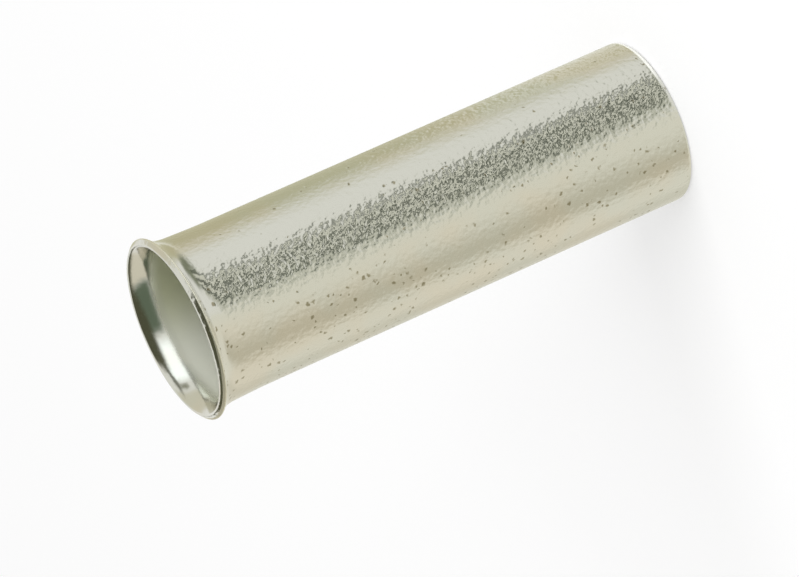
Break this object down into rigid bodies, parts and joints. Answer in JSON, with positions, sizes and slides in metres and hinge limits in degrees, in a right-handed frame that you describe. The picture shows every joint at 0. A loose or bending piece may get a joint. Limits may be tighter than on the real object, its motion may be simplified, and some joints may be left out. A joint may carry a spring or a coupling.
{
  "type": "wire ferrule",
  "caption": "Plain wire end sleeve: a thin tinned copper tube with a square-cut end and a flared mouth, crimped onto stripped strands before they enter a terminal clamp.",
  "frame": {"origin": "centre of the plain end's face, which the sleeve stands on", "axes": "+Z along the tube's axis, from the plain end to the flared mouth; X and Y are any pair across it, because the sleeve is round"},
  "size_m": [0.0034, 0.0034, 0.01],
  "materials": {
    "tinned_copper": "satin tin plating with a fine grain"
  },
  "bodies": {
    "root": {"sleeve": "tinned_copper"}
  },
  "joints": []
}
